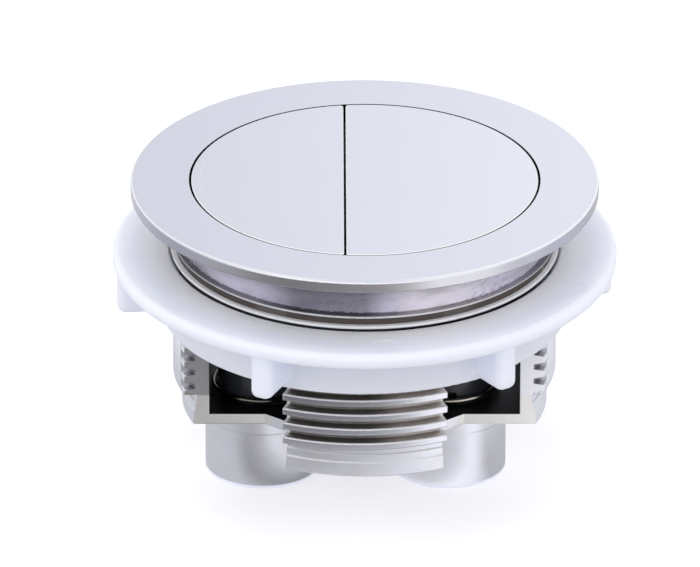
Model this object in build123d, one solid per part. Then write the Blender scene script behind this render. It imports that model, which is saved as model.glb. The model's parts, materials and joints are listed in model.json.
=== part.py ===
from build123d import *

import os
from math import cos, radians, sin

# Dual flush push button for a cistern lid. Millimetres, +Z up. The barrel's axis is the Z axis and z = 0 is
# the foot of the two guide sleeves. The half flush button is on the -X side, the full flush one on +X.

# Overall
overall_height = 48.0
press_travel = 6.0
stop_gap = 0.3
joint_gap = 0.05
guide_gap = 0.1

# Bezel: the chromed ring on top of the lid
bezel_radius = 35.4
bezel_rim_thickness = 2.0
bezel_edge_round = 0.55
opening_radius = 26.55
bezel_foot_round = 0.25
opening_edge_round = 0.08
lid_seat_inner_radius = 32.3
neck_radius = 28.6
neck_length = 6.75
neck_bead_radius = 29.1
neck_bead_height = 0.45
neck_bead_round = 0.15
spigot_wall = 1.0
spigot_length = 1.25

# Threaded basket: barrel
collar_radius = 28.7
collar_lip_radius = 29.4
collar_lip_height = 0.45
collar_height = 1.7
thread_crest_radius = 29.0
thread_root_radius = 27.4
barrel_bore_radius = 25.5
thread_pitch = 2.4
thread_crest_width = 0.95
thread_base_width = 1.7
thread_front_height = 17.15
thread_sink = 0.3
thread_end_height = 16.5
side_pad_radius = 29.05
side_pad_half_width = 8.4
left_pad_foot = 16.6
right_pad_foot = 17.4
foot_radius = 27.7
foot_lower_ledge = 13.85
foot_middle_radius = 27.45
foot_upper_ledge = 15.1
foot_upper_radius = 27.2

# Threaded basket: segments, cross plate and sleeves
front_segment_half_angle = 25.3
side_segment_half_width = 9.9
window_head_height = 31.0
plate_thickness = 1.7
plate_shoulder_half_width = 15.0
plate_lobe_half_width = 10.8
plate_shoulder_slope = 0.8
sleeve_length = 11.6
sleeve_radius = 8.75
sleeve_wall = 1.3
sleeve_foot_round = 0.2
sleeve_collar_rise = 0.25
sleeve_collar_height = 2.4
guide_length = 3.8
half_axis_x = -15.4
full_axis_x = 12.75

# Buttons
button_side_gap = 0.3
split_x = -3.0
split_gap = 0.3
cap_thickness = 1.8
cap_wall = 1.15
cap_corner_round = 0.5
cap_edge_bevel = 0.12
cap_dish_radius = 24.9
cap_dish_depth = 0.04

# Plungers: the black mouldings under the caps
carrier_thickness = 1.6
carrier_side_gap = 0.15
stem_radius = 6.85
stem_wall = 1.4
stem_web_thickness = 1.0
rod_boss_radius = 4.2
rod_boss_recess = 1.2
rod_hole_radius = 2.5
rod_thread_length = 12.5
rod_core_radius = 2.0
barb_radius = 7.3
barb_height = 2.2
barb_side_gap = 0.1
barb_slot_width = 2.4
barb_slot_height = 9.0
carrier_rib_count = 6
carrier_rib_thickness = 1.2
carrier_rib_height = 2.0
carrier_rib_reach = 3.4

# Return springs
spring_mean_radius = 7.5
spring_wire = 0.8
spring_turns = 3.5
spring_rib_gap = 0.5

# Locknut
nut_top_height = 36.9
nut_radius = 38.2
nut_flange_thickness = 2.5
nut_flange_round = 1.1
nut_height = 10.0
nut_skirt_radius = 31.0
nut_bore_radius = 29.3
nut_mouth_radius = 29.8
nut_mouth_depth = 0.5
nut_foot_round = 0.4
lug_count = 6
lug_first_angle = -25.0
lug_width = 3.5
lug_set_back = 0.6
lug_foot_lift = 0.6
lug_corner_round = 1.3
lug_foot_round = 1.2
lug_root_round = 1.6
ejector_mark_radius = 2.0
ejector_mark_circle = 34.6
ejector_mark_depth = 0.1

# Heights that follow from the sizes above
top = overall_height
lid_seat = top - bezel_rim_thickness
parting = lid_seat - neck_length - neck_bead_height
plate_bottom = sleeve_length
plate_top = plate_bottom + plate_thickness
carrier_top = top - cap_thickness
carrier_bottom = carrier_top - carrier_thickness
rebate_floor = parting - spigot_length - joint_gap
cap_foot = rebate_floor + press_travel + stop_gap
stem_foot = press_travel + stop_gap
nut_bottom = nut_top_height - nut_height
lug_radius = nut_radius - lug_set_back
guide_bottom = plate_top - guide_length
front_direction = -90.0


def profile(corners, *curves):
    """An upright face on the XZ plane from (radius, height) corners, closed by a line or by curves."""
    path = [Vector(r, 0, z) for r, z in corners]
    if curves:
        return Face(Wire([*Polyline(*path).edges(), *curves]))
    return Face(Wire.make_polygon(path, close=True))


def rounded(face, *corners):
    """The same face with the named corners rounded, each given as (radius, height, round)."""
    for r, z, round_radius in corners:
        corner = face.vertices().sort_by_distance(Vector(r, 0, z))[0]
        face = face.fillet_2d(round_radius, [corner])
    return face


def upright(radius, low, high):
    """A plain cylinder about the axis between two heights."""
    return Pos(0, 0, low) * Cylinder(radius, high - low, align=(Align.CENTER, Align.CENTER, Align.MIN))


def prism(points, low, high):
    """A vertical prism on a polygon of (x, y) corners."""
    face = Face(Wire.make_polygon([Vector(x, y, low) for x, y in points], close=True))
    return extrude(face, high - low, dir=(0, 0, 1))


def one(shape):
    """The single solid that a sub-part has to be."""
    solids = shape.solids()
    if len(solids) != 1:
        raise ValueError(f"expected one solid, not {len(solids)}")
    return solids[0]


def bezel_ring():
    """The visible ring: flat rim, seat for the lid, concave neck and a spigot into the basket."""
    cove_foot = parting + neck_bead_height
    spigot_radius = opening_radius + spigot_wall
    spigot_foot = parting - spigot_length
    cove_start = Vector(neck_radius, 0, cove_foot)
    cove_end = Vector(lid_seat_inner_radius, 0, lid_seat)
    cove = TangentArc(cove_start, cove_end, tangent=(0, 0, 1))
    section = profile(
        [
            (neck_radius, cove_foot),
            (neck_bead_radius, cove_foot),
            (neck_bead_radius, parting),
            (spigot_radius, parting),
            (spigot_radius, spigot_foot),
            (opening_radius, spigot_foot),
            (opening_radius, top),
            (bezel_radius, top),
            (bezel_radius, lid_seat),
            (lid_seat_inner_radius, lid_seat),
        ],
        cove,
    )
    section = rounded(
        section,
        (bezel_radius, top, bezel_edge_round),
        (bezel_radius, lid_seat, bezel_foot_round),
        (opening_radius, top, opening_edge_round),
        (neck_bead_radius, cove_foot, neck_bead_round),
        (neck_bead_radius, parting, neck_bead_round),
    )
    return one(revolve(section, Axis.Z))


def segment_windows():
    """The four openings between the barrel's front, back and side segments."""
    near = barrel_bore_radius - 2 * (thread_crest_radius - barrel_bore_radius)
    far = 2 * thread_crest_radius
    turn = radians(front_segment_half_angle)
    edge = [(near * sin(turn), near * cos(turn)), (far * sin(turn), far * cos(turn))]
    outline = edge + [(far, side_segment_half_width), (near, side_segment_half_width)]
    windows = []
    for side in (1, -1):
        for end in (1, -1):
            corners = [(side * x, end * y) for x, y in outline]
            windows.append(prism(corners, 0, window_head_height))
    return windows


def thread_ridge():
    """The right-hand thread, as one helical ridge trimmed to its top and bottom ends."""
    turns_to_front = 2.75
    start = thread_front_height - turns_to_front * thread_pitch
    finish = parting - collar_height
    helix = Helix(pitch=thread_pitch, height=finish - start + thread_pitch, radius=thread_root_radius)
    section_plane = Plane(origin=helix @ 0, x_dir=(1, 0, 0), z_dir=helix % 0)
    rise = thread_crest_radius - thread_root_radius
    section = section_plane * Polygon(
        (-thread_sink, -thread_base_width / 2),
        (rise, -thread_crest_width / 2),
        (rise, thread_crest_width / 2),
        (-thread_sink, thread_base_width / 2),
        align=None,
    )
    ridge = Pos(0, 0, start) * sweep(section, path=helix, is_frenet=True)
    return ridge & upright(2 * thread_crest_radius, thread_end_height, finish)


def side_pad(side, foot):
    """The smooth pad on one side segment, a hair higher than the thread, where the mould parts."""
    pad = upright(side_pad_radius, foot, parting - collar_height)
    pad -= upright((barrel_bore_radius + thread_root_radius) / 2, foot, parting)
    middle = Box(side_pad_radius, 2 * side_pad_half_width, 2 * top)
    return pad & Pos(side * side_pad_radius, 0, 0) * middle


def cross_plate():
    """The plate that joins the four segments and carries the sleeves."""
    shoulder_drop = (plate_shoulder_half_width - plate_lobe_half_width) * plate_shoulder_slope
    reach = thread_root_radius
    corner = [
        (reach, side_segment_half_width),
        (plate_shoulder_half_width, side_segment_half_width),
        (plate_lobe_half_width, side_segment_half_width + shoulder_drop),
        (plate_lobe_half_width, reach),
    ]
    outline = corner + [(-x, y) for x, y in reversed(corner)]
    outline += [(-x, -y) for x, y in corner] + [(x, -y) for x, y in reversed(corner)]
    rim = upright((barrel_bore_radius + thread_root_radius) / 2, plate_bottom, plate_top)
    return prism(outline, plate_bottom, plate_top) & rim


def sleeve(axis_x):
    """One guide sleeve under the plate, with the low collar at its root."""
    collar_foot = plate_bottom - sleeve_collar_height
    points = [
        (0, 0),
        (sleeve_radius, 0),
        (sleeve_radius, collar_foot),
        (sleeve_radius + sleeve_collar_rise, collar_foot),
        (sleeve_radius + sleeve_collar_rise, plate_top),
        (0, plate_top),
    ]
    section = rounded(profile(points), (sleeve_radius, 0, sleeve_foot_round))
    return Pos(axis_x, 0, 0) * revolve(section, Axis.Z)


def sleeve_bore(axis_x):
    """The sleeve's bore, stepped in at the top where it guides the stem."""
    wide = upright(sleeve_radius - sleeve_wall, 0, guide_bottom)
    narrow = upright(stem_radius + guide_gap, 0, plate_top)
    return Pos(axis_x, 0, 0) * (wide + narrow)


def threaded_basket():
    """Barrel segments, thread, cross plate and the two sleeves in one moulding."""
    lip_foot = parting - collar_height
    rebate_radius = opening_radius + spigot_wall + joint_gap
    section = profile(
        [
            (barrel_bore_radius, plate_bottom),
            (foot_radius, plate_bottom),
            (foot_radius, foot_lower_ledge),
            (foot_middle_radius, foot_lower_ledge),
            (foot_middle_radius, foot_upper_ledge),
            (foot_upper_radius, foot_upper_ledge),
            (foot_upper_radius, thread_end_height),
            (thread_root_radius, thread_end_height),
            (thread_root_radius, lip_foot),
            (collar_lip_radius, lip_foot),
            (collar_lip_radius, lip_foot + collar_lip_height),
            (collar_radius, lip_foot + collar_lip_height),
            (collar_radius, parting),
            (rebate_radius, parting),
            (rebate_radius, rebate_floor),
            (barrel_bore_radius, rebate_floor),
        ]
    )
    basket = revolve(section, Axis.Z) + thread_ridge()
    basket += side_pad(-1, left_pad_foot)
    basket += side_pad(1, right_pad_foot)
    for window in segment_windows():
        basket -= window
    basket += cross_plate()
    for axis_x in (half_axis_x, full_axis_x):
        basket += sleeve(axis_x)
    for axis_x in (half_axis_x, full_axis_x):
        basket -= sleeve_bore(axis_x)
    return one(basket)


def button_outline(radius, side, inset, corner):
    """The D-shaped face of one button, cut off by the split line. side is -1 for half flush, 1 for full."""
    flat_x = split_x + side * (split_gap / 2 + inset)
    half = Pos(flat_x + side * bezel_radius, 0) * Rectangle(2 * bezel_radius, 2 * bezel_radius)
    outline = Circle(radius - inset) & half
    return fillet(outline.vertices(), corner)


def dish():
    """The lens that hollows both caps by a hair."""
    bowl_radius = (cap_dish_radius**2 + cap_dish_depth**2) / (2 * cap_dish_depth)
    return Pos(0, 0, top - cap_dish_depth + bowl_radius) * Sphere(bowl_radius)


def flush_cap(side):
    """One chromed cap: a thin D-shaped tray, open below."""
    radius = opening_radius - button_side_gap
    foot = Pos(0, 0, cap_foot)
    cap = extrude(foot * button_outline(radius, side, 0, cap_corner_round), top - cap_foot)
    rim = cap.faces().sort_by(Axis.Z)[-1].edges()
    cap = chamfer(rim, cap_edge_bevel)
    inside = button_outline(radius, side, cap_wall, cap_corner_round)
    cap -= extrude(foot * inside, carrier_top - cap_foot)
    return one(cap - dish())


def plunger(side, axis_x):
    """The black carrier under one cap, with its hollow stem, snap barbs and push rod boss."""
    radius = opening_radius - button_side_gap
    inset = cap_wall + carrier_side_gap
    outline = button_outline(radius, side, inset, cap_corner_round)
    disc = extrude(Pos(0, 0, carrier_bottom) * outline, carrier_thickness)
    barb_top = guide_bottom - barb_side_gap
    barb_bottom = barb_top - barb_height
    inner_radius = stem_radius - stem_wall
    boss_foot = stem_foot + rod_boss_recess
    section = profile(
        [
            (inner_radius, stem_foot),
            (stem_radius - stem_wall / 2, stem_foot),
            (barb_radius, barb_bottom),
            (barb_radius, barb_top),
            (stem_radius, barb_top),
            (stem_radius, carrier_bottom),
            (inner_radius, carrier_bottom),
        ]
    )
    stem = revolve(section, Axis.Z)
    upwards = (Align.CENTER, Align.CENTER, Align.MIN)
    slot = Box(2 * sleeve_radius, barb_slot_width, barb_slot_height, align=upwards)
    for turn in (0, 90):
        stem -= Pos(0, 0, stem_foot) * Rot(0, 0, turn) * slot
    boss = upright(rod_boss_radius, boss_foot, carrier_bottom)
    web_span = 2 * stem_radius - stem_wall
    web = Box(web_span, stem_web_thickness, carrier_bottom - boss_foot, align=upwards)
    for turn in (45, 135):
        boss += Pos(0, 0, boss_foot) * Rot(0, 0, turn) * web
    rod_hole = upright(rod_hole_radius, 0, boss_foot + rod_thread_length)
    rod_hole += upright(rod_core_radius, 0, carrier_bottom - carrier_rib_height)
    body = disc + Pos(axis_x, 0, 0) * (stem + boss - rod_hole)
    rib_inner = spring_mean_radius + spring_wire / 2 + spring_rib_gap
    rib = Pos(rib_inner, 0, carrier_bottom - carrier_rib_height) * Box(
        carrier_rib_reach,
        carrier_rib_thickness,
        carrier_rib_height,
        align=(Align.MIN, Align.CENTER, Align.MIN),
    )
    under_disc = extrude(outline, carrier_top)
    for number in range(carrier_rib_count):
        angle = 360 * (number + 0.5) / carrier_rib_count
        body += Pos(axis_x, 0, 0) * Rot(0, 0, angle) * rib & under_disc
    return one(body)


def return_spring(axis_x):
    """A compression spring from the plate to the carrier, closed by a flat turn at each end."""
    low = plate_top + spring_wire / 2 + joint_gap
    high = carrier_bottom - spring_wire / 2 - joint_gap
    helix = Helix(pitch=(high - low) / spring_turns, height=high - low, radius=spring_mean_radius)
    round_wire = Plane(origin=helix @ 0, z_dir=helix % 0) * Circle(spring_wire / 2)
    coil = Pos(0, 0, low) * sweep(round_wire, path=helix, is_frenet=True)
    flat_turn = Torus(spring_mean_radius, spring_wire / 2)
    return Pos(axis_x, 0, 0) * one(coil + Pos(0, 0, low) * flat_turn + Pos(0, 0, high) * flat_turn)


def locknut():
    """The white plastic nut: flange, skirt, six grip lugs and a plain running bore over the thread."""
    flange_foot = nut_top_height - nut_flange_thickness
    section = profile(
        [
            (nut_bore_radius, nut_bottom),
            (nut_skirt_radius, nut_bottom),
            (nut_skirt_radius, flange_foot),
            (nut_radius, flange_foot),
            (nut_radius, nut_top_height),
            (nut_mouth_radius, nut_top_height),
            (nut_bore_radius, nut_top_height - nut_mouth_depth),
        ]
    )
    section = rounded(
        section,
        (nut_skirt_radius, nut_bottom, nut_foot_round),
        (nut_skirt_radius, flange_foot, nut_foot_round),
        (nut_radius, flange_foot, nut_flange_round),
        (nut_radius, nut_top_height, nut_flange_round),
    )
    plan = Circle(nut_skirt_radius)
    for number in range(lug_count):
        angle = front_direction + lug_first_angle + number * 360 / lug_count
        plan += Rot(0, 0, angle) * Pos(lug_radius / 2, 0) * Rectangle(lug_radius, lug_width)
    half_way_out = (nut_skirt_radius + lug_radius) / 2
    roots = [v for v in plan.vertices() if Vector(v).length < half_way_out]
    plan = fillet(roots, lug_root_round)
    tips = [v for v in plan.vertices() if Vector(v).length > half_way_out]
    plan = fillet(tips, lug_corner_round)
    lug_foot = nut_bottom + lug_foot_lift
    lugs = extrude(Pos(0, 0, lug_foot) * plan, flange_foot - lug_foot + nut_foot_round)
    lugs = fillet(lugs.faces().sort_by(Axis.Z)[0].edges(), lug_foot_round)
    lugs -= upright(nut_bore_radius, 0, top)
    nut = revolve(section, Axis.Z) + lugs
    mark = upright(ejector_mark_radius, nut_top_height - ejector_mark_depth, top)
    for number in range(lug_count):
        angle = front_direction + lug_first_angle + (number + 0.5) * 360 / lug_count
        nut -= Rot(0, 0, angle) * Pos(ejector_mark_circle, 0, 0) * mark
    return one(nut)


parts = {
    "bezel_ring": bezel_ring(),
    "threaded_basket": threaded_basket(),
    "half_flush_cap": flush_cap(-1),
    "full_flush_cap": flush_cap(1),
    "half_plunger": plunger(-1, half_axis_x),
    "full_plunger": plunger(1, full_axis_x),
    "half_spring": return_spring(half_axis_x),
    "full_spring": return_spring(full_axis_x),
    "locknut": locknut(),
}

os.makedirs("parts", exist_ok=True)
for name, shape in parts.items():
    export_step(shape, f"parts/{name}.step")
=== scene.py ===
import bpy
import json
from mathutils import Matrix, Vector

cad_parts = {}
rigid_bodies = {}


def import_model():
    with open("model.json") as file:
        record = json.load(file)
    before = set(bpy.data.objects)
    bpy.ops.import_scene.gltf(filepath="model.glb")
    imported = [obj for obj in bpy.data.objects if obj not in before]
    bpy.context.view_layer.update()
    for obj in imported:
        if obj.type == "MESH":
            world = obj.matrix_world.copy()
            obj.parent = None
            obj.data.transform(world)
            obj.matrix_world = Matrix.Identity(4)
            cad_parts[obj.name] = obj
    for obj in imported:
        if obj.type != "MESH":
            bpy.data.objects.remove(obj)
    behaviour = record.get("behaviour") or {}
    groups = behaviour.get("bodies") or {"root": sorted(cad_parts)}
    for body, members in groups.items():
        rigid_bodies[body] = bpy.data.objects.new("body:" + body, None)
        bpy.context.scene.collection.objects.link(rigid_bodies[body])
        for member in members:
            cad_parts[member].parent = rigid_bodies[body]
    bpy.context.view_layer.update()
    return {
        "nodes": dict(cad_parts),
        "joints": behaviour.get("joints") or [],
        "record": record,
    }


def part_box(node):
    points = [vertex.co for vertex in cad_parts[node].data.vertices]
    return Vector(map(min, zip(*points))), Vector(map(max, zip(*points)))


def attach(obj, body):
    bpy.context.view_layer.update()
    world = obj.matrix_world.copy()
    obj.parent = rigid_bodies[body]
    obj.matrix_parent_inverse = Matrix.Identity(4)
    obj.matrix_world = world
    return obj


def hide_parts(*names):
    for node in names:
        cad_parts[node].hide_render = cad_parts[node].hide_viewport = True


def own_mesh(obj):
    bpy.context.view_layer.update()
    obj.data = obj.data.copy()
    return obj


bl_info = {
    "name": "Dual Flush Push Button",
    "version": (1, 0, 0),
    "blender": (4, 5, 0),
    "location": "View3D > Sidebar > Push Button",
    "description": "Plates, moulds and lights a dual flush push button around its construction model",
    "category": "Object",
}

import json
import math
from types import SimpleNamespace

import bmesh
import bpy
from mathutils import Matrix, Vector

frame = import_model()

MM = 0.001
TOP_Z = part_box("bezel_ring")[1].z
LID_SEAT_Z = frame["record"]["mounts"][0]["pos_m"][2]
SPRINGS = {"half": "half_spring", "full": "full_spring"}
WHITE = (1.0, 1.0, 1.0)
# Widths over which the finest masks begin and end
HAIR = 0.03 * MM
FINE = 0.06 * MM
# Sides of the spring wire, climb of a closed end turn in wire radii, and how near two vertices are one
WIRE_SIDES = 12
CLOSED_RISE = 1.6
MERGE_DISTANCE = 1e-7
# Sides of the grey card, and where the lamps point
CARD_SIDES = 96
LIT_POINT = Vector((0, 0, 0.03))


class Value:
    """A number that a shader socket gives, so that shader maths reads as an expression."""

    def __init__(self, tree, socket):
        self.tree = tree
        self.socket = socket

    def _maths(self, operation, *terms):
        return self.tree.node("ShaderNodeMath", {"operation": operation}, dict(enumerate(terms)))

    def __add__(self, other):
        return self._maths("ADD", self, other)

    def __sub__(self, other):
        return self._maths("SUBTRACT", self, other)

    def __rsub__(self, other):
        return self._maths("SUBTRACT", other, self)

    def __mul__(self, other):
        return self._maths("MULTIPLY", self, other)

    def __truediv__(self, other):
        return self._maths("DIVIDE", self, other)

    def __pow__(self, other):
        return self._maths("POWER", self, other)

    def ramp(self, low, high):
        """0 below low, 1 above high and smooth between them. low may be the greater of the two."""
        settings = {"interpolation_type": "SMOOTHSTEP"}
        turned = low > high
        inputs = {"Value": self, "From Min": min(low, high), "From Max": max(low, high)}
        rise = self.tree.node("ShaderNodeMapRange", settings, inputs)
        return 1 - rise if turned else rise

    def band(self, foot, low, high, head):
        """0 below foot, 1 from low to high, 0 above head and smooth between them."""
        return self.ramp(foot, low) * self.ramp(head, high)

    __radd__ = __add__
    __rmul__ = __mul__


class Nodes:
    """A node tree that is built from expressions."""

    def __init__(self, tree):
        self.tree = tree

    def node(self, kind, settings, inputs, output=0):
        """Any node: its settings first, then the values or links of its sockets."""
        made = self.tree.nodes.new(kind)
        for name, value in settings.items():
            if name == "stops":
                self._stops(made.color_ramp, value)
            else:
                setattr(made, name, value)
        for socket, value in inputs.items():
            target = made.inputs[socket]
            if isinstance(value, Value):
                self.tree.links.new(value.socket, target)
            else:
                target.default_value = value
        return Value(self, made.outputs[output])

    def _stops(self, color_ramp, stops):
        elements = color_ramp.elements
        elements.remove(elements[-1])
        for number, (position, color) in enumerate(stops):
            element = elements.new(position) if number else elements[0]
            element.position = position
            element.color = color

    def seen(self):
        """1 for rays from the camera and for rays that metal, gloss and clear plastic send out, else 0."""
        path = self.node("ShaderNodeLightPath", {}, {}).socket.node
        rays = [Value(self, path.outputs[f"Is {kind} Ray"]) for kind in ("Camera", "Glossy", "Transmission")]
        return rays[0] + rays[1] + rays[2]


class Finish(Nodes):
    """A material's node tree on one Principled surface."""

    def __init__(self, name):
        self.material = bpy.data.materials.new(name)
        self.material.use_nodes = True
        super().__init__(self.material.node_tree)
        self.surface = self.tree.nodes["Principled BSDF"]
        self.place = self.node("ShaderNodeTexCoord", {}, {}, output="Object")
        parts = self.node("ShaderNodeSeparateXYZ", {}, {"Vector": self.place}).socket.node
        self.x, self.y, self.z = (Value(self, parts.outputs[axis]) for axis in "XYZ")

    def radius(self):
        """Distance from the barrel's axis."""
        return (self.x * self.x + self.y * self.y) ** 0.5

    def noise(self, scale, detail=3.0, roughness=0.5, stretch=(1.0, 1.0, 1.0)):
        """Soft noise from 0 to 1, in features of about 1/scale metres. A stretch under 1 draws them out."""
        mapped = self.node("ShaderNodeMapping", {}, {"Vector": self.place, "Scale": stretch})
        inputs = {"Vector": mapped, "Scale": scale, "Detail": detail, "Roughness": roughness}
        return self.node("ShaderNodeTexNoise", {}, inputs)

    def mix(self, factor, first, second, blend="MIX"):
        """A colour between two colours."""
        settings = {"data_type": "RGBA", "blend_type": blend}
        inputs = {0: factor, 6: colour(first), 7: colour(second)}
        return self.node("ShaderNodeMix", settings, inputs, output=2)

    def times(self, first, second):
        """Two colours multiplied."""
        return self.mix(1.0, first, second, blend="MULTIPLY")

    def coats(self, base, *laid):
        """A colour with coats laid over it in turn, each given as its mask and its colour."""
        for mask, coat in laid:
            base = self.mix(mask, base, coat)
        return base

    def bump(self, height, distance, strength, normal=None):
        """A normal from a height, in metres of relief at height 1, on top of another normal."""
        inputs = {"Height": height, "Distance": distance, "Strength": strength}
        if normal:
            inputs["Normal"] = normal
        return self.node("ShaderNodeBump", {}, inputs)

    def soft_edges(self, radius):
        """A normal that turns round each edge as a small round would."""
        return self.node("ShaderNodeBevel", {"samples": 6}, {"Radius": radius})

    def lean(self, normal):
        """1 where a normal points straight up, -1 where it points straight down."""
        return self.node("ShaderNodeSeparateXYZ", {}, {"Vector": normal}, output="Z")

    def size(self, value):
        """A value without its sign."""
        return self.node("ShaderNodeMath", {"operation": "ABSOLUTE"}, {0: value})

    def within(self, value, limit, edge):
        """1 below the limit, 0 above the limit plus edge."""
        return value.ramp(limit + edge, limit)

    def either(self, first, second):
        """The greater of two masks."""
        return self.node("ShaderNodeMath", {"operation": "MAXIMUM"}, {0: first, 1: second})

    def put(self, **sockets):
        """Sets or links the surface's sockets. An underscore stands for a space."""
        for name, value in sockets.items():
            target = self.surface.inputs[name.replace("_", " ")]
            if isinstance(value, Value):
                self.tree.links.new(value.socket, target)
            else:
                target.default_value = value

    def show(self, shader):
        """Makes a shader the material's surface in place of the Principled one."""
        self.tree.links.new(shader.socket, self.tree.nodes["Material Output"].inputs["Surface"])


def colour(values):
    """A colour as a socket takes it: with its alpha, or a link as it is."""
    return values if isinstance(values, Value) else (*values[:3], 1.0)


def dress(node_name, finish):
    """Gives a CAD node its finish."""
    mesh = frame["nodes"][node_name].data
    mesh.materials.clear()
    mesh.materials.append(finish.material)


def smooth_mesh(name, builder):
    """A new object at the origin from a bmesh, shaded smooth."""
    mesh = bpy.data.meshes.new(name)
    builder.to_mesh(mesh)
    builder.free()
    for polygon in mesh.polygons:
        polygon.use_smooth = True
    made = bpy.data.objects.new(name, mesh)
    bpy.context.scene.collection.objects.link(made)
    return made


def top_plate_with_painted_shade(finish, look, haze, dull, bright):
    """Plate on top with painted shade: darker on the half flush side and lighter on the full flush side,
    uneven with the haze.
    """
    inputs = {"Value": finish.x, "From Min": -look.painted_fade_reach, "From Max": look.painted_fade_reach}
    fade = finish.node("ShaderNodeMapRange", {"interpolation_type": "LINEAR"}, inputs)
    return finish.mix(fade + (haze - 0.5) * look.painted_fade_waver, dull, bright)


def rim_plate(finish, look, radius, haze, edge, lean):
    """Plate on the rim: its outer wall has painted shade, greyer at the sides and dark along its lower edge,
    and a painted highlight along its upper edge at the sides.
    """
    side = finish.size(finish.x) / radius
    # Painted shade: the wall is painted greyer at its two sides.
    flank = finish.either(side.ramp(0.3, 0.85), finish.x.ramp(4 * MM, 14 * MM) * look.right_flank_shade)
    wall = finish.mix(flank, look.rim_tint, look.rim_flank_shade)
    near_edge = radius.ramp(look.bezel_radius - 0.5 * MM, look.bezel_radius - 0.4 * MM)
    arris_highlight = lean.band(0.35, 0.6, 0.85, 0.97) * near_edge * side.ramp(0.05, 0.3)
    return finish.coats(
        top_plate_with_painted_shade(finish, look, haze, look.bezel_painted_shade, look.bezel_tint),
        # Painted shade along the wall's lower edge, and a painted highlight along its upper edge at the
        # sides.
        (edge, finish.mix(lean.ramp(-0.05, -0.35) * look.rim_foot_shade_strength, wall, look.gap_shade_tint)),
        (arris_highlight * look.edge_highlight_strength, WHITE),
    )


# Painted reflection and shade on the neck: how bright it is from its left end, 0, to its right end, 1, and
# its tone
NECK_REFLECTION_GREYS = (
    (0, 0.42), (0.06, 0.5), (0.13, 0.8), (0.21, 0.76), (0.32, 0.34), (0.41, 0.34),
    (0.5, 0.36), (0.56, 0.75), (0.62, 1.0), (0.76, 1.0), (0.88, 0.85), (0.96, 0.5),
)
NECK_REFLECTION_TONE = (1.0, 0.97, 1.1)


def neck_plate(finish, look, radius, low, pitted):
    """Plate on the neck with painted reflection and shade: a lilac painted reflection low down, painted
    shade higher up and in front, streaked and specked with wear.
    """
    stops = []
    for place, grey in NECK_REFLECTION_GREYS:
        stops.append((place, (*(min(1.0, grey * part) for part in NECK_REFLECTION_TONE), 1.0)))
    around = finish.node("ShaderNodeValToRGB", {"stops": stops}, {0: finish.x / radius * 0.5 + 0.5})
    plate = finish.times(finish.mix(low, look.neck_upper_shade, look.neck_lilac_reflection), around)
    streak = finish.noise(150.0, detail=4.0, roughness=0.6, stretch=(1.0, 1.0, 3.0)).ramp(0.4, 0.68)
    speck = finish.noise(1500.0, detail=2.0).ramp(0.5, 0.66) * pitted
    wear = streak * look.neck_streaks + speck * look.neck_specks
    return finish.mix(wear, plate, finish.times(plate, look.neck_worn))


def bezel_plating(look):
    """Bright plate, pitted on the neck, with painted shade in the gap round the buttons and in a line over
    the bead, and a painted highlight on the bead.
    """
    finish = Finish("bezel_plating")
    radius = finish.radius()
    depth, under_seat, under_bead = TOP_Z - finish.z, LID_SEAT_Z - finish.z, look.bead_height - finish.z
    rounded = finish.soft_edges(look.edge_round)
    haze = finish.noise(60.0, detail=2.0)
    cloud = finish.noise(110.0, detail=3.0)
    peel = finish.noise(1300.0, detail=3.0, roughness=0.6)
    edge = radius.ramp(look.bezel_radius - 2 * FINE, look.bezel_radius - FINE)
    # Painted shade on the walls of the gap round the buttons, fading with depth.
    wall = finish.within(radius, look.opening_radius, 0.05 * MM)
    wall = wall * depth.band(0.05 * MM, 0.1 * MM, look.gap_fade_start, look.gap_fade_end)
    neck = under_seat.ramp(0, look.neck_blend)
    pitted = under_seat.ramp(look.pits_start, look.neck_middle) * cloud.ramp(0.3, 0.65)
    # Where the neck's lilac painted reflection takes over from the painted shade higher up
    low = (under_seat + cloud * look.cloud_drop).ramp(look.neck_middle, look.neck_low)
    # Painted shade: a dark line over the bead.
    root = under_bead.band(-0.04 * MM - FINE, -0.04 * MM, look.root_line, look.root_line + FINE)
    # Painted highlight: the bead is painted white.
    bead = under_bead.ramp(look.root_line, look.root_line + FINE)
    bead = bead * radius.ramp(look.bead_radius, look.bead_radius + 0.2 * MM)
    finish.put(
        Base_Color=finish.coats(
            rim_plate(finish, look, radius, haze, edge, finish.lean(rounded)),
            (neck, finish.mix(bead, neck_plate(finish, look, radius, low, pitted), WHITE)),
            (finish.either(wall, root * look.root_shade_strength), look.gap_shade_tint),
        ),
        Metallic=1 - edge * look.rim_pale - bead * look.bead_pale,
        Roughness=look.bezel_roughness + haze * look.haze_roughness - neck * look.neck_polish,
        Normal=finish.bump(peel * pitted, look.pit_depth, 1.0, rounded),
    )
    return finish


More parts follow.
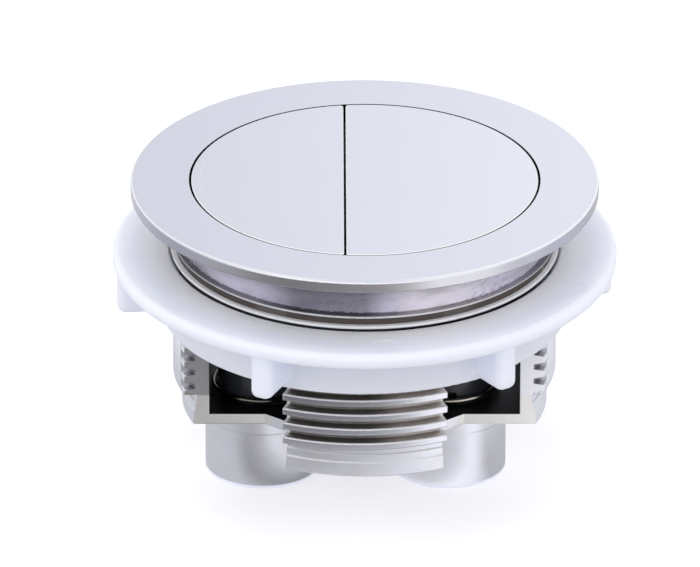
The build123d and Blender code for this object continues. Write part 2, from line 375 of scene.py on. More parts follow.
def cap_plating(look):
    """The buttons' plate: painted shade towards the half flush side, a painted highlight line at the dish,
    painted highlights on the edges and painted shade on the walls in the gap round them.
    """
    finish = Finish("cap_plating")
    radius = finish.radius()
    rounded = finish.soft_edges(look.cap_edge_round)
    haze = finish.noise(70.0, detail=2.0)
    # Painted shade on the buttons' walls in the gap round them, fading with depth.
    rim_wall = radius.ramp(look.cap_radius - 0.02 * MM - HAIR, look.cap_radius - 0.02 * MM)
    split_wall = finish.within(finish.size(finish.x - look.split_x), look.split_gap, HAIR)
    depth = (TOP_Z - finish.z).band(0.09 * MM, 0.13 * MM, look.gap_fade_start, look.gap_fade_end)
    dish = finish.within(finish.size(radius - look.dish_radius), 0.04 * MM, 0.08 * MM)
    finish.put(
        Base_Color=finish.coats(
            top_plate_with_painted_shade(finish, look, haze, look.cap_painted_shade, look.cap_tint),
            # Painted highlights: a fine bright line at the dish and white edges.
            (dish * look.dish_highlight, look.cap_tint),
            (finish.lean(rounded).ramp(0.98, 0.88), WHITE),
            (finish.either(rim_wall, split_wall) * depth, look.gap_shade_tint),
        ),
        Metallic=1.0,
        Roughness=look.cap_roughness + haze * look.haze_roughness,
        Normal=rounded,
    )
    return finish


def basket_zones(finish, look, lean):
    """Where each kind of plate, painted shade and painted highlight lies on the basket: masks from 0 to 1.
    """
    radius, z = finish.radius(), finish.z
    under_crest = look.crest_radius - radius
    width = finish.size(finish.y)
    half_end = look.side_half_width
    end = width.band(half_end - 0.05 * MM, half_end - 0.02 * MM, half_end + 0.5 * MM, half_end + 1 * MM)
    above_plate = z.ramp(look.thread_foot - 0.1 * MM, look.thread_foot)
    threaded = above_plate * (1 - end * above_plate)
    outside = radius.ramp(look.barrel_bore + 0.1 * MM, look.barrel_bore + 0.2 * MM)
    groove = threaded * outside * under_crest.ramp(0.03 * MM, 0.3 * MM)
    front = (width / radius).ramp(0.8, 0.85)
    border = front * (finish.size(finish.x) / radius).ramp(0.405, 0.42)
    # Painted shade: the collar's band under the bead is painted dark brown.
    over_lip = z.ramp(look.lip_top - 0.02 * MM, look.lip_top + 0.02 * MM)
    under_parting = z.ramp(look.parting - 0.22 * MM, look.parting - 0.22 * MM - FINE)
    collar = finish.within(radius, look.collar_radius + 0.04 * MM, FINE) * over_lip * under_parting
    # Painted highlights: white on the crests, the foot's ledges, the collar's lip and the front grooves'
    # ends.
    crest = threaded * under_crest.ramp(0.34 * MM, 0.26 * MM)
    ledge = outside * z.ramp(look.ledge_foot, look.ledge_foot + 0.1 * MM) * (1 - above_plate)
    lip = z.ramp(look.lip_foot, look.lip_foot + HAIR) * (1 - collar)
    glint = finish.either(finish.either(crest, ledge) * lean.ramp(0.15, 0.5), lip * look.lip_glint)
    # Painted shade: dark just under the collar's lip.
    under_lip_shade = outside * z.band(
        look.lip_foot - 1.2 * MM, look.lip_foot - 1 * MM, look.lip_foot - HAIR, look.lip_foot + HAIR
    )
    bore = finish.within(radius, look.barrel_bore, 0.04 * MM)
    # Painted shadow under the thread's last ridge.
    foot = outside * z.ramp(look.thread_foot - 0.7 * MM, look.thread_foot - 0.4 * MM)
    return SimpleNamespace(
        threaded=threaded,
        groove=groove,
        front=front,
        collar=collar,
        segment_end=end * above_plate,
        plate_face=end * (1 - above_plate),
        # Painted reflection: a bluer tint outside on the side segments.
        side=(width / radius).ramp(0.6, 0.45) * outside * (1 - groove),
        glint=finish.either(glint, border * groove * look.border_glint),
        # Painted shade under the ridges.
        eave_shade=threaded * outside * lean.ramp(-0.05, -0.4),
        # Painted shade at the grooves' roots.
        deep_shade=groove * under_crest.ramp(0.7 * MM, 1.3 * MM),
        foot=foot * under_crest.ramp(1.4 * MM, 1.5 * MM),
        under_lip_shade=under_lip_shade,
        # Painted shade inside the barrel.
        inside=bore * z.ramp(look.plate_top - 0.08 * MM, look.plate_top - 0.03 * MM),
    )


def basket_plating(look):
    """Satin plate with painted highlights on the crests and painted shade in the grooves, under the bead and
    inside the barrel.
    """
    finish = Finish("basket_plating")
    rounded = finish.soft_edges(look.basket_edge_round)
    zones = basket_zones(finish, look, finish.lean(rounded))
    grain = finish.noise(1100.0, detail=3.0, roughness=0.6)
    haze = finish.noise(70.0, detail=2.0)
    stain = finish.noise(260.0, detail=4.0, roughness=0.6)
    # Painted shade and reflection in the grooves: brownish with grain, lighter on the full flush side,
    # duller in the side segments and darkest at the roots.
    groove_shade = finish.coats(
        finish.mix(grain, look.groove_shade_tint, look.groove_shade_tint_dark),
        (finish.x.ramp(0, 6 * MM), look.groove_lit_tint),
        (1 - zones.front, look.side_groove_shade_tint),
        (zones.deep_shade * look.deep_shade_strength, look.brown_shade_tint),
    )
    satin = finish.mix(stain.ramp(0.42, 0.8) * look.stain_strength, look.basket_tint, look.basket_tint_shade)
    # Painted shade on the side segments' ends on the half flush side, with browner stains, and painted light
    # on them on the full flush side.
    mottled = finish.mix(stain, look.end_shade_tint, look.end_shade_stain_tint)
    finish.put(
        Base_Color=finish.coats(
            satin,
            (zones.foot * look.foot_shadow_strength, look.inside_shade_tint),
            (zones.groove, groove_shade),
            (zones.side, look.side_reflection_tint),
            (zones.eave_shade * look.eave_shade_strength, look.brown_shade_tint),
            (zones.plate_face, finish.mix(stain, look.plate_tint, look.plate_tint_shade)),
            (zones.segment_end, finish.mix(finish.x.ramp(-1 * MM, 1 * MM), mottled, look.end_lit_tint)),
            (zones.glint, WHITE),
            (finish.either(zones.under_lip_shade, zones.inside), look.inside_shade_tint),
            (zones.collar, look.brown_shade_tint),
        ),
        Metallic=1 - zones.segment_end * look.end_pale - zones.glint * look.glint_pale,
        Roughness=look.basket_roughness
        + haze * look.basket_haze
        - zones.threaded * look.thread_polish
        + finish.either(zones.groove, zones.inside) * look.groove_roughness,
        Normal=finish.bump(grain, look.grain_depth, 0.7, rounded),
    )
    return finish


def black_moulding(look):
    """Glossy black plastic with faint flow marks."""
    finish = Finish("black_moulding")
    flow = finish.noise(140.0, detail=3.0, stretch=(1.0, 1.0, 0.3))
    finish.put(
        Base_Color=finish.mix(flow, look.black, look.black_flow_and_spring_shade),
        Roughness=look.black_roughness + flow * look.flow_roughness,
        Specular_IOR_Level=0.5,
        Normal=finish.bump(flow, look.flow_depth, 0.3),
    )
    return finish


def wire_finish(look):
    """Drawn spring wire, bright with a warm tone on the full flush side and darkened by painted shade on the
    half flush side.
    """
    finish = Finish("wire_finish")
    draw = finish.noise(900.0, detail=2.0)
    half_side_shade = finish.x.ramp(1 * MM, -1 * MM)
    finish.put(
        Base_Color=finish.coats(
            look.wire,
            (draw, look.wire_shade),
            (half_side_shade * look.half_spring_shade, look.black_flow_and_spring_shade),
        ),
        Metallic=1.0,
        Roughness=look.wire_roughness + draw * look.wire_grain,
    )
    return finish


def nut_plastic(look):
    """Milky moulded plastic that lets a little light through, with painted light on top near its bore."""
    finish = Finish("nut_plastic")
    cloud = finish.noise(60.0, detail=2.0)
    grain = finish.noise(1500.0, detail=2.0)
    lit_near_bore = finish.radius().ramp(look.nut_lit_reach, look.nut_lit_reach - 5 * MM)
    on_top = finish.z.ramp(look.nut_top - 0.5 * MM, look.nut_top - 0.2 * MM)
    finish.put(
        Base_Color=finish.coats(
            look.nut_white,
            (cloud, look.nut_white_shade),
            (lit_near_bore * on_top, look.nut_lit_tint),
        ),
        Roughness=look.nut_roughness + cloud * look.nut_cloud,
        Subsurface_Weight=0.8,
        Subsurface_Radius=(1.0, 0.95, 1.0),
        Subsurface_Scale=4 * MM,
        IOR=1.49,
        Specular_IOR_Level=0.4,
        Normal=finish.bump(grain, look.nut_grain_depth, 0.35),
    )
    return finish


def tint(name, description, default):
    return bpy.props.FloatVectorProperty(
        name=name, description=description, default=default, size=3, min=0.0, max=1.0, subtype="COLOR"
    )


def length(name, description, default):
    return bpy.props.FloatProperty(
        name=name, description=description, default=default, min=0.0, unit="LENGTH", subtype="DISTANCE"
    )


def angle(name, description, degrees):
    return bpy.props.FloatProperty(
        name=name, description=description, default=math.radians(degrees), subtype="ANGLE", unit="ROTATION"
    )


def share(name, description, default):
    return bpy.props.FloatProperty(
        name=name, description=description, default=default, min=0.0, max=1.0, subtype="FACTOR"
    )


def watts(name, description, default):
    return bpy.props.FloatProperty(
        name=name, description=description, default=default, min=0.0, unit="POWER"
    )


class PlatingSettings(bpy.types.PropertyGroup):
    """Colours and polish of the chromed pieces"""

    bezel_tint: tint("Bezel", "Plate on the bezel's rim", (0.76, 0.78, 0.88))
    # Painted shade: the rim's top is painted darker towards the half flush side.
    bezel_painted_shade: tint("Bezel shade", "Duller plate towards the half flush side", (0.64, 0.66, 0.76))
    rim_tint: tint("Rim", "Plate on the rim's outer wall", (0.95, 0.94, 1.0))
    # Painted shade: greyer wall at the rim's sides, reaching further to the front on the full flush side.
    rim_flank_shade: tint("Rim flank", "Greyer plate on that wall at its two sides", (0.43, 0.445, 0.53))
    right_flank_shade: share("Right flank", "How far that grey reaches to the front on the full flush side", 0.4)
    # Painted shade on the rim's lower edge.
    rim_foot_shade_strength: share("Rim foot", "How dark the rim's lower edge is", 0.5)
    rim_pale: share("Rim pale", "How little the rim's wall mirrors", 0.05)
    # Painted highlight along the rim's upper edge.
    edge_highlight_strength: share("Upper edge line", "How white the rim's upper edge is at the sides", 0.5)
    bezel_roughness: share("Bezel roughness", "How satin the rim is", 0.2)
    # Painted reflection: lilac low on the neck; painted shade: greyer higher up.
    neck_lilac_reflection: tint("Neck", "Lilac plate low on the neck", (1.0, 0.97, 1.0))
    neck_upper_shade: tint("Neck shade", "Greyer plate high on the neck", (0.75, 0.74, 0.72))
    neck_worn: tint("Neck wear", "How much of the neck's plate is left where it is worn", (0.6, 0.6, 0.6))
    neck_streaks: share("Neck streaks", "How strong the wear's streaks are", 0.55)
    neck_specks: share("Neck specks", "How strong the wear's specks are", 0.45)
    neck_polish: share("Neck polish", "How much glossier the neck is than the rim", 0.05)
    neck_blend: length("Neck blend", "Depth under the seat over which the neck's plate begins", 0.0004)
    pits_start: length("Pits start", "Depth under the seat where the neck's pits begin", 0.001)
    neck_middle: length("Neck middle", "Depth under the seat of full pits and the first lilac", 0.0025)
    neck_low: length("Neck low", "Depth under the seat where the neck is all lilac", 0.005)
    cloud_drop: length("Cloud drop", "How unevenly the lilac begins", 0.003)
    pit_depth: length("Pit depth", "Depth of the pits in the neck", 0.00012)
    bead_pale: share("Bead pale", "How little the bead mirrors", 0.3)
    # Painted shade: the dark line over the bead.
    root_line: length("Root line", "How far the dark line over the bead reaches down", 0.0002)
    root_shade_strength: share("Root dark", "How dark that line is", 0.7)
    cap_tint: tint("Caps", "Plate on the buttons", (0.80, 0.82, 0.91))
    # Painted shade: the buttons' top is painted darker towards the half flush side.
    cap_painted_shade: tint("Caps shade", "Duller plate towards the half flush side", (0.655, 0.67, 0.765))
    cap_roughness: share("Cap roughness", "How satin the buttons are", 0.2)
    # Painted highlight: the fine line at the buttons' dish.
    dish_highlight: share("Dish line", "How bright the fine line at the buttons' dish is", 0.3)
    # Reach and unevenness of the painted shade across the top.
    painted_fade_reach: length("Fade reach", "Half the distance over which the top's plate gets brighter", 0.030)
    painted_fade_waver: share("Haze waver", "How unevenly it gets brighter", 0.12)
    haze_roughness: share("Haze roughness", "How much more satin the haze makes the top", 0.04)
    # Painted shade: the gap round the buttons, also the rim's lower edge.
    gap_shade_tint: tint("Gap", "Walls of the gap round the buttons", (0.03, 0.03, 0.035))
    basket_tint: tint("Basket", "Satin plate on the basket", (0.88, 0.89, 0.99))
    basket_tint_shade: tint("Basket shade", "Duller patches on the basket", (0.80, 0.785, 0.81))
    stain_strength: share("Stain strength", "How strong those patches are", 0.6)
    basket_roughness: share("Basket roughness", "How satin the basket is", 0.26)
    basket_haze: share("Basket haze", "How much more satin the haze makes the basket", 0.08)
    thread_polish: share("Thread polish", "How much glossier the thread is", 0.06)
    groove_roughness: share("Groove roughness", "How much more satin the grooves and the inside are", 0.25)
    grain_depth: length("Grain depth", "Depth of the grain in the basket's plate", 0.00002)
    # Painted shade and reflection in the thread's grooves, with darker grain, painted light on the full
    # flush side and duller in the side segments.
    groove_shade_tint: tint("Groove", "Thin brownish plate in the thread's grooves", (0.50, 0.475, 0.47))
    groove_shade_tint_dark: tint("Groove shade", "Darker grain in the grooves", (0.31, 0.295, 0.29))
    groove_lit_tint: tint("Bright groove", "Front grooves on the full flush side", (0.97, 0.92, 0.89))
    side_groove_shade_tint: tint("Side groove", "Dull plate in the side segments' grooves", (0.66, 0.66, 0.72))
    # Painted shade at the grooves' roots.
    deep_shade_strength: share("Groove root", "How dark the grooves' roots are", 0.45)
    # Painted shade under the ridges.
    eave_shade_strength: share("Ridge underside", "How dark the undersides of the ridges are", 0.75)
    # Painted shadow under the thread's last ridge.
    foot_shadow_strength: share("Thread foot shade", "How dark the thread's last step is", 0.7)
    # Painted highlights on the crests, the collar's lip and the front grooves' ends.
    glint_pale: share("Crest pale", "How little the white crests mirror", 0.9)
    lip_glint: share("Lip line", "How white the collar's lip is", 0.9)
    border_glint: share("Groove ends", "How white the front grooves' ends are", 0.8)
    # Painted reflection: bluer outside on the side segments.
    side_reflection_tint: tint("Side segments", "Bluer plate outside on the side segments", (0.87, 0.90, 1.0))
    plate_tint: tint("Cross plate", "Front and back faces of the cross plate", (0.93, 0.92, 0.94))
    plate_tint_shade: tint("Cross plate shade", "Browner patches on those faces", (0.80, 0.78, 0.76))
    # Painted shade on the segment ends on the half flush side, with browner stains; painted light on them on
    # the full flush side.
    end_shade_tint: tint("Segment end", "Thin mottled plate on the ends of the side segments", (0.46, 0.45, 0.47))
    end_shade_stain_tint: tint("Segment end shade", "Browner patches on those ends", (0.30, 0.285, 0.28))
    end_lit_tint: tint("Bright segment end", "Those ends on the full flush side", (0.95, 0.95, 1.0))
    end_pale: share("Segment end pale", "How little those ends mirror", 0.6)
    # Painted shade: the collar's band under the bead, the grooves' roots and the ridges' undersides.
    brown_shade_tint: tint("Collar", "Thin brownish plate under the bezel's bead", (0.12, 0.105, 0.095))
    # Painted shade inside the barrel, under the collar's lip and under the thread's last ridge.
    inside_shade_tint: tint("Inside", "Inside of the barrel", (0.035, 0.04, 0.05))
    edge_round: length("Edge round", "How far each edge looks rounded", 0.00012)
    cap_edge_round: length("Cap edge round", "How far the buttons' edges look rounded", 0.00022)
    basket_edge_round: length("Basket edge round", "How far the basket's edges look rounded", 0.00028)
    bezel_radius: length("Bezel radius", "Outer radius of the rim", 0.0354)
    opening_radius: length("Opening radius", "Radius of the opening for the buttons", 0.02655)
    # Depths where the gap's painted shade fades.
    gap_fade_start: length("Gap fade start", "Depth where the gap's dark begins to fade", 0.0017)
    gap_fade_end: length("Gap fade end", "Depth where the gap's dark has gone", 0.0042)
    cap_radius: length("Cap radius", "Outer radius of the two buttons together", 0.02625)
    dish_radius: length("Dish radius", "Where the buttons begin to dip", 0.0249)
    split_x: bpy.props.FloatProperty(
        name="Split", description="Where the buttons part, across the barrel", default=-0.003, unit="LENGTH"
    )
    split_gap: length("Split gap", "Half of the gap between the buttons", 0.00015)
    bead_height: length("Bead height", "Top of the bead under the neck", 0.03925)
    # Painted highlight on the bead beyond this radius.
    bead_radius: length("Bead radius", "Radius beyond which the bead is white", 0.0278)
    crest_radius: length("Crest radius", "Outer radius of the thread", 0.029)
    barrel_bore: length("Barrel bore", "Inner radius of the barrel", 0.0255)
    collar_radius: length("Collar radius", "Outer radius of the barrel's collar", 0.0287)
    lip_top: length("Lip top", "Upper face of the collar's lip", 0.03755)
    lip_foot: length("Lip foot", "Underside of the collar's lip", 0.0371)
    side_half_width: length("Side half width", "Half of the width of a side segment", 0.0099)
    ledge_foot: length("Ledge foot", "Height above which the barrel's foot is stepped", 0.0135)
    thread_foot: length("Thread foot", "Height at which the thread begins", 0.0165)
    plate_top: length("Plate top", "Upper face of the cross plate", 0.0133)
    parting: length("Parting", "Where the bezel sits on the basket's collar", 0.0388)


class MouldingSettings(bpy.types.PropertyGroup):
    """Colours of the plastic and the wire"""

    black: tint("Black", "Plungers", (0.032, 0.034, 0.042))
    # Flow marks on the plungers, and the painted shade on the half flush button's spring.
    black_flow_and_spring_shade: tint("Black flow marks", "Flow marks on the plungers", (0.030, 0.033, 0.038))
    black_roughness: share("Black roughness", "How satin the plungers are", 0.18)
    flow_roughness: share("Flow roughness", "How much more satin the flow marks are", 0.12)
    flow_depth: length("Flow depth", "Depth of the flow marks", 0.00005)
    nut_white: tint("White", "Locknut", (0.83, 0.85, 0.965))
    nut_white_shade: tint("White shade", "Slightly thinner white on the locknut", (0.80, 0.82, 0.94))
    # Painted light on top of the locknut near its bore.
    nut_lit_tint: tint("Pale", "Locknut near its bore", (0.97, 0.98, 1.0))
    nut_lit_reach: length("Pale reach", "Radius out to which the locknut is paler", 0.035)
    nut_top: length("Nut top", "Upper face of the locknut", 0.0368)
    nut_roughness: share("Nut roughness", "How satin the locknut is", 0.38)
    nut_cloud: share("Nut cloud", "How unevenly satin it is", 0.08)
    nut_grain_depth: length("Nut grain depth", "Depth of the grain on the locknut", 0.00002)
    wire: tint("Wire", "Return springs", (0.62, 0.58, 0.51))
    wire_shade: tint("Wire shade", "Darker draw marks on the wire", (0.46, 0.42, 0.35))
    # Painted shade on the half flush button's spring.
    half_spring_shade: share("Wire dark", "How dark the half flush button's spring is", 0.7)
    wire_roughness: share("Wire roughness", "How satin the wire is", 0.16)
    wire_grain: share("Wire grain", "How much more satin the draw marks are", 0.12)


class SpringSettings(bpy.types.PropertyGroup):
    """Sizes of the two return springs"""

    wire_diameter: length("Wire", "Thickness of the spring wire", 0.0008)
    turns: bpy.props.FloatProperty(
        name="Turns", description="Turns between the closed ends", default=2.5, min=1.0
    )
    steps: bpy.props.IntProperty(name="Steps", description="Segments in each turn", default=64, min=12)


class StageSettings(bpy.types.PropertyGroup):
    """Camera and light"""

    lens: bpy.props.FloatProperty(
        name="Lens", description="Focal length in millimetres", default=900.0, min=10.0
    )
    azimuth: angle("Azimuth", "Camera's angle round the object, 0 in front and growing to its right", -0.2)
    elevation: angle("Elevation", "Camera's angle above the horizon", 25.98)
    roll: angle("Roll", "Camera's turn about its own axis", 0.08)
    floor_size: length("Floor size", "Side of the square floor", 8.0)
    paper: tint("Paper", "Floor", (0.66, 0.66, 0.68))
    paper_lift: share("Paper lift", "How much whiter the floor looks than it lights", 0.5)
    card_inner: length("Card inner radius", "Within which the card has the sleeves' greys", 0.038)
    card_reach: length("Card middle radius", "Within which the card has the foot's greys", 0.06)
    card_outer: length("Card outer radius", "Where the grey card ends", 0.4)
    card_height: length("Card height", "Height of the grey card over the floor", 0.0005)
    top_power: watts("Top light", "Power of the light overhead", 1.3)
    key_power: watts("Right light", "Power of the light in front on the right", 0.4)
    fill_power: watts("Left light", "Power of the light in front on the left", 0.6)
    world_tint: tint("World tint", "Colour of the even light all round", (0.95, 0.96, 1.0))
    world_strength: share("World light", "Strength of the even light all round", 1.0)


class PlateBezel(bpy.types.Operator):
    """Plates the bezel ring"""

    bl_idname = "push_button.plate_bezel"
    bl_label = "Plate Bezel"

    def execute(self, context):
        dress("bezel_ring", bezel_plating(context.scene.push_button_plating))
        return {"FINISHED"}


class PlateCaps(bpy.types.Operator):
    """Plates the half flush and full flush caps"""

    bl_idname = "push_button.plate_caps"
    bl_label = "Plate Caps"

    def execute(self, context):
        finish = cap_plating(context.scene.push_button_plating)
        for name in ("half_flush_cap", "full_flush_cap"):
            dress(name, finish)
        return {"FINISHED"}


class PlateBasket(bpy.types.Operator):
    """Plates the threaded basket"""

    bl_idname = "push_button.plate_basket"
    bl_label = "Plate Basket"

    def execute(self, context):
        dress("threaded_basket", basket_plating(context.scene.push_button_plating))
        return {"FINISHED"}


class MouldPlungers(bpy.types.Operator):
    """Colours the two black plungers"""

    bl_idname = "push_button.mould_plungers"
    bl_label = "Mould Plungers"

    def execute(self, context):
        finish = black_moulding(context.scene.push_button_moulding)
        for name in ("half_plunger", "full_plunger"):
            dress(name, finish)
        return {"FINISHED"}


class MouldNut(bpy.types.Operator):
    """Colours the locknut"""

    bl_idname = "push_button.mould_nut"
    bl_label = "Mould Locknut"

    def execute(self, context):
        dress("locknut", nut_plastic(context.scene.push_button_moulding))
        return {"FINISHED"}


def spring_coil(sizes, low, high):
    """A helix of round wire with a flat closed turn at each end, spun about the spring's own axis."""
    wire = sizes.wire_diameter / 2
    mean = (high.x - low.x) / 2 - wire
    centre = Vector(((low.x + high.x) / 2, (low.y + high.y) / 2, 0.0))
    foot, head = low.z + wire, high.z - wire
    builder = bmesh.new()
    ring = bmesh.ops.create_circle(builder, segments=WIRE_SIDES, radius=wire)["verts"]
    stand = Matrix.Translation(centre + Vector((mean, 0, foot))) @ Matrix.Rotation(math.pi / 2, 4, "X")
    bmesh.ops.transform(builder, matrix=stand, verts=ring)
    closed = wire * CLOSED_RISE
    geometry = list(builder.edges)
    for turns, rise in ((1.0, closed), (sizes.turns, head - foot - 2 * closed), (1.0, closed)):
        steps = max(1, round(turns * sizes.steps))
        spun = bmesh.ops.spin(
            builder,
            geom=geometry,
            cent=centre,
            axis=(0, 0, 1),
            dvec=(0, 0, rise / steps),
            angle=turns * math.tau,
            steps=steps,
        )
        geometry = [item for item in spun["geom_last"] if isinstance(item, bmesh.types.BMEdge)]
    bmesh.ops.holes_fill(builder, edges=[edge for edge in builder.edges if edge.is_boundary], sides=0)
    bmesh.ops.remove_doubles(builder, verts=builder.verts, dist=MERGE_DISTANCE)
    bmesh.ops.recalc_face_normals(builder, faces=builder.faces)
    return builder


class WindSprings(bpy.types.Operator):
    """Winds both return springs in place of the CAD ones, each on the body that holds its button"""

    bl_idname = "push_button.wind_springs"
    bl_label = "Wind Springs"

    def execute(self, context):
        sizes = context.scene.push_button_springs
        finish = wire_finish(context.scene.push_button_moulding)
        travel = {joint["child"]: joint for joint in frame["joints"]}
        for side, node_name in SPRINGS.items():
            low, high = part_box(node_name)
            piece = smooth_mesh(f"{side}_coil", spring_coil(sizes, low, high))
            piece.data.materials.append(finish.material)
            joint = travel[f"{side}_button"]
            stroke = joint["range_m"][1]
            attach(piece, joint["parent"])
            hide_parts(node_name)
            keep = 1 - stroke / (high.z - low.z)
            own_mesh(piece)
        return {"FINISHED"}


def floor_paper(look):
    """Pale paper, which the camera and reflections see as white away from the object's shadow."""
    finish = Finish("floor_paper")
    finish.put(Base_Color=colour(look.paper), Roughness=0.9, Specular_IOR_Level=0.0)
    paper = Value(finish, finish.surface.outputs["BSDF"])
    glow = finish.node("ShaderNodeEmission", {}, {"Strength": look.paper_lift})
    lifted = finish.node("ShaderNodeAddShader", {}, {0: paper, 1: glow})
    finish.show(finish.node("ShaderNodeMixShader", {}, {0: finish.seen(), 1: paper, 2: lifted}))
    return finish


# The card glows with these greys, painted reflections that only the chrome sees: by bearing in degrees, 0 in
# front and growing to the right
CARD_FAR = (
    (-180, 0.9), (-120, 0.9), (-75, 0.6), (-50, 0.22), (-35, 0.12), (-12, 0.16), (8, 0.21),
    (20, 0.45), (32, 1.0), (50, 1.0), (68, 0.8), (80, 1.0), (110, 1.0), (130, 0.8),
)
CARD_MIDDLE = (
    (-180, 0.6), (-100, 0.6), (-60, 0.5), (-30, 0.54), (-15, 0.58), (0, 0.72),
    (15, 0.86), (25, 0.84), (33, 1.0), (55, 1.0), (85, 0.75), (140, 0.68),
)
CARD_NEAR = (
    (-110, 0.6), (-66, 0.56), (-54, 0.29), (-42, 0.4), (-30, 0.55), (-20, 0.95), (0, 0.6),
    (30, 0.55), (44, 0.68), (56, 1.0), (63, 0.92), (73, 0.48), (90, 0.5),
)


def card_zone(finish, turn, greys):
    """One zone of the card, grey by bearing. turn goes from 0 to 1 on the way round."""
    stops = [(0.5 + degrees / 360, (grey, grey, grey, 1.0)) for degrees, grey in greys]
    return finish.node("ShaderNodeValToRGB", {"stops": stops}, {0: turn})


def reflection_card(look):
    """The glowing grey disc over the floor that upright chrome mirrors, a painted reflection: dark in front,
    pale elsewhere.
    """
    finish = Finish("reflection_card")
    bearing = finish.node("ShaderNodeMath", {"operation": "ARCTAN2"}, {0: finish.x, 1: 0 - finish.y})
    turn = bearing / math.tau + 0.5
    radius = finish.radius()
    middle = radius.ramp(look.card_reach + 7 * MM, look.card_reach - 7 * MM)
    near = radius.ramp(look.card_inner + 5 * MM, look.card_inner - 5 * MM)
    shade = finish.coats(
        card_zone(finish, turn, CARD_FAR),
        (middle, card_zone(finish, turn, CARD_MIDDLE)),
        (near, card_zone(finish, turn, CARD_NEAR)),
    )
    finish.show(finish.node("ShaderNodeEmission", {}, {"Color": shade}))
    return finish


def square_lamp(name, place, side, power):
    """A square lamp that shines at the object and doesn't show in its chrome."""
    lamp = bpy.data.lights.new(name, "AREA")
    lamp.shape = "SQUARE"
    lamp.size = side
    lamp.energy = power
    made = bpy.data.objects.new(name, lamp)
    made.location = place
    made.rotation_euler = (LIT_POINT - Vector(place)).to_track_quat("-Z", "Y").to_euler()
    made.visible_glossy = False
    bpy.context.scene.collection.objects.link(made)


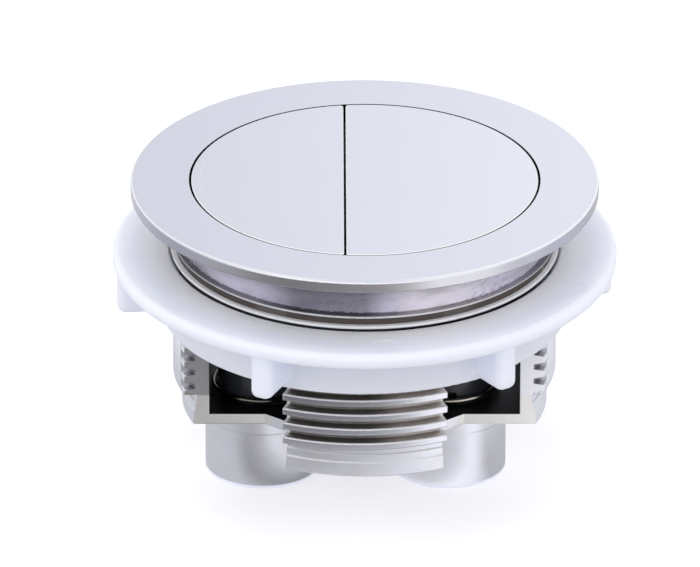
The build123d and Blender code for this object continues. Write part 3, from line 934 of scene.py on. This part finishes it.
class SetStage(bpy.types.Operator):
    """Lays the floor and sets the lights and the camera"""

    bl_idname = "push_button.set_stage"
    bl_label = "Set Stage"

    def execute(self, context):
        sizes = context.scene.push_button_stage
        scene = context.scene
        self.lay_floor(sizes)
        self.lay_card(sizes)
        square_lamp("overhead", place=(-0.06, -0.02, 0.75), side=0.6, power=sizes.top_power)
        square_lamp("key", place=(0.45, -0.55, 0.5), side=0.5, power=sizes.key_power)
        square_lamp("fill", place=(-0.6, -0.5, 0.45), side=0.6, power=sizes.fill_power)
        self.light_world(scene, sizes)
        self.aim_camera(scene, sizes)
        scene.view_settings.view_transform = "Standard"
        return {"FINISHED"}

    def lay_floor(self, sizes):
        builder = bmesh.new()
        bmesh.ops.create_grid(builder, x_segments=1, y_segments=1, size=sizes.floor_size / 2)
        floor = smooth_mesh("floor", builder)
        floor.data.materials.append(floor_paper(sizes).material)

    def lay_card(self, sizes):
        builder = bmesh.new()
        bmesh.ops.create_circle(builder, segments=CARD_SIDES, radius=sizes.card_outer, cap_ends=True)
        bmesh.ops.translate(builder, verts=builder.verts, vec=(0, 0, sizes.card_height))
        card = smooth_mesh("reflection_card", builder)
        card.data.materials.append(reflection_card(sizes).material)
        card.visible_camera = card.visible_diffuse = card.visible_shadow = False
        card.visible_transmission = card.visible_volume_scatter = False

    def light_world(self, scene, sizes):
        world = bpy.data.worlds.new("surroundings")
        world.use_nodes = True
        scene.world = world
        made = Nodes(world.node_tree)
        made.tree.nodes.clear()
        even = {"Color": colour(sizes.world_tint), "Strength": sizes.world_strength}
        light = made.node("ShaderNodeBackground", {}, even)
        white = made.node("ShaderNodeBackground", {}, {"Color": colour(WHITE), "Strength": 1.0})
        mix = made.node("ShaderNodeMixShader", {}, {0: made.seen(), 1: light, 2: white})
        out = made.tree.nodes.new("ShaderNodeOutputWorld")
        made.tree.links.new(mix.socket, out.inputs["Surface"])

    def aim_camera(self, scene, sizes):
        frame_width, frame_height = 700, 567
        pixels_per_mm = 6.62
        bezel_pixel = (364.7, 178.9)
        data = bpy.data.cameras.new("camera")
        data.lens = sizes.lens
        data.sensor_width = 36.0
        data.sensor_fit = "HORIZONTAL"
        distance = MM * sizes.lens * frame_width / (data.sensor_width * pixels_per_mm)
        tilt, turn_round = sizes.elevation, sizes.azimuth
        level = math.cos(tilt)
        back = Vector((math.sin(turn_round) * level, -math.cos(turn_round) * level, math.sin(tilt)))
        camera = bpy.data.objects.new("camera", data)
        scene.collection.objects.link(camera)
        camera.rotation_mode = "QUATERNION"
        turn = (-back).to_track_quat("-Z", "Y") @ Matrix.Rotation(sizes.roll, 4, "Z").to_quaternion()
        camera.rotation_quaternion = turn
        across, up = turn @ Vector((1, 0, 0)), turn @ Vector((0, 1, 0))
        off_right = (bezel_pixel[0] - frame_width / 2) / pixels_per_mm * MM
        off_up = (frame_height / 2 - bezel_pixel[1]) / pixels_per_mm * MM
        aim = Vector((0, 0, TOP_Z)) - across * off_right - up * off_up
        camera.location = aim + back * distance
        data.clip_start, data.clip_end = 0.01, 50.0
        scene.camera = camera


class PushButtonPanel(bpy.types.Panel):
    """Lists the steps in the order they run"""

    bl_idname = "PUSH_BUTTON_PT_steps"
    bl_label = "Push Button"
    bl_space_type = "VIEW_3D"
    bl_region_type = "UI"
    bl_category = "Push Button"

    def draw(self, context):
        for step in STEPS:
            self.layout.operator(step.bl_idname)


STEPS = (PlateBezel, PlateCaps, PlateBasket, MouldPlungers, MouldNut, WindSprings, SetStage)
SETTINGS = {
    "push_button_plating": PlatingSettings,
    "push_button_moulding": MouldingSettings,
    "push_button_springs": SpringSettings,
    "push_button_stage": StageSettings,
}


def register():
    for name, group in SETTINGS.items():
        bpy.utils.register_class(group)
        setattr(bpy.types.Scene, name, bpy.props.PointerProperty(type=group))
    for step in STEPS:
        bpy.utils.register_class(step)
    bpy.utils.register_class(PushButtonPanel)


def unregister():
    bpy.utils.unregister_class(PushButtonPanel)
    for step in reversed(STEPS):
        bpy.utils.unregister_class(step)
    for name, group in SETTINGS.items():
        delattr(bpy.types.Scene, name)
        bpy.utils.unregister_class(group)


def main():
    """Registers everything and runs the steps in order."""
    register()
    for step in STEPS:
        package, action = step.bl_idname.split(".")
        getattr(getattr(bpy.ops, package), action)()


if __name__ == "__main__":
    main()
